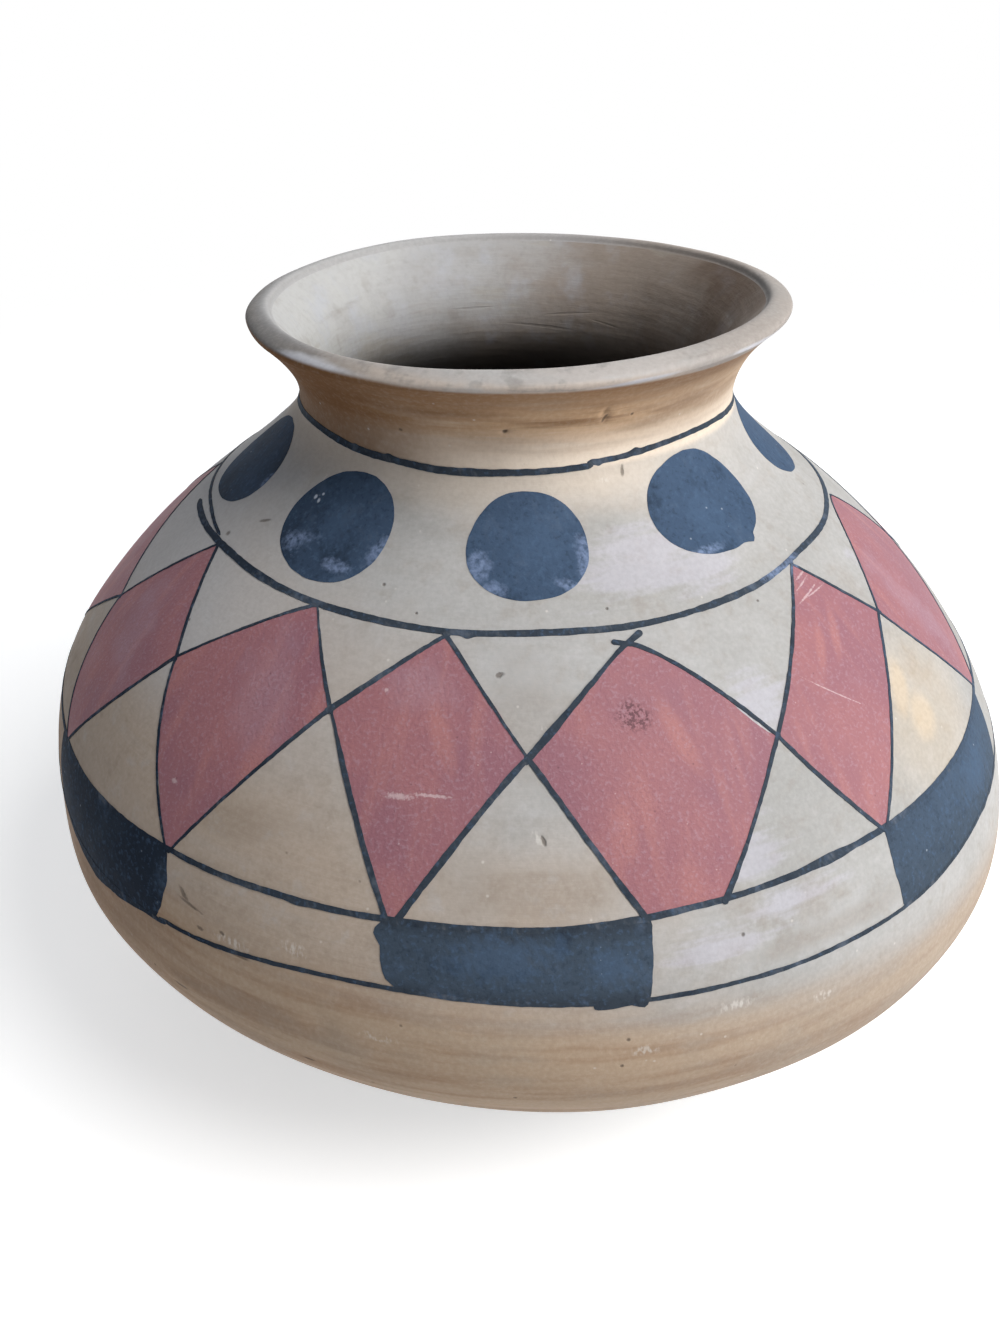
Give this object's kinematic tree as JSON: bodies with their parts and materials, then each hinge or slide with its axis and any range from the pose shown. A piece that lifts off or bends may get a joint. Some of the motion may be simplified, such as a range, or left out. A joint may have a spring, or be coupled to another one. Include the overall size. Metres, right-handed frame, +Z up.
{
  "type": "painted earthenware pot",
  "caption": "Wide-bellied hand-built earthenware jar with a short neck and flared lip, slip-painted with dots, diamonds and a banded border.",
  "frame": {"origin": "centre of the flat foot, on the surface that the pot stands on", "axes": "+Z up along the pot's axis; -Y is the side that faces the camera"},
  "size_m": [0.2578, 0.2578, 0.1886],
  "materials": {
    "cream_slip": "matt burnished buff slip with faint burnish streaks",
    "bare_clay": "matt orange-brown clay with horizontal wiping streaks",
    "red_slip": "matt brick-red slip with brush streaks and fine speckle",
    "black_slip": "blue-black slip with a low sheen"
  },
  "bodies": {
    "root": {"base_bowl": "cream_slip", "belly_wall": "cream_slip", "shoulder_wall": "cream_slip", "neck_collar": "bare_clay", "rim_lip": "cream_slip", "neck_line": "black_slip", "shoulder_line": "black_slip", "band_top_line": "black_slip", "band_bottom_line": "black_slip", "shoulder_dot_1": "black_slip", "shoulder_dot_2": "black_slip", "shoulder_dot_3": "black_slip", "shoulder_dot_4": "black_slip", "shoulder_dot_5": "black_slip", "shoulder_dot_6": "black_slip", "shoulder_dot_7": "black_slip", "shoulder_dot_8": "black_slip", "shoulder_dot_9": "black_slip", "red_diamond_01": "red_slip", "red_diamond_02": "red_slip", "red_diamond_03": "red_slip", "red_diamond_04": "red_slip", "red_diamond_05": "red_slip", "red_diamond_06": "red_slip", "red_diamond_07": "red_slip", "red_diamond_08": "red_slip", "red_diamond_09": "red_slip", "red_diamond_10": "red_slip", "red_diamond_11": "red_slip", "red_diamond_12": "red_slip", "diamond_outline_01": "black_slip", "diamond_outline_02": "black_slip", "diamond_outline_03": "black_slip", "diamond_outline_04": "black_slip", "diamond_outline_05": "black_slip", "diamond_outline_06": "black_slip", "diamond_outline_07": "black_slip", "diamond_outline_08": "black_slip", "diamond_outline_09": "black_slip", "diamond_outline_10": "black_slip", "diamond_outline_11": "black_slip", "diamond_outline_12": "black_slip", "band_block_1": "black_slip", "band_block_2": "black_slip", "band_block_3": "black_slip", "band_block_4": "black_slip", "band_block_5": "black_slip", "band_block_6": "black_slip"}
  },
  "joints": []
}
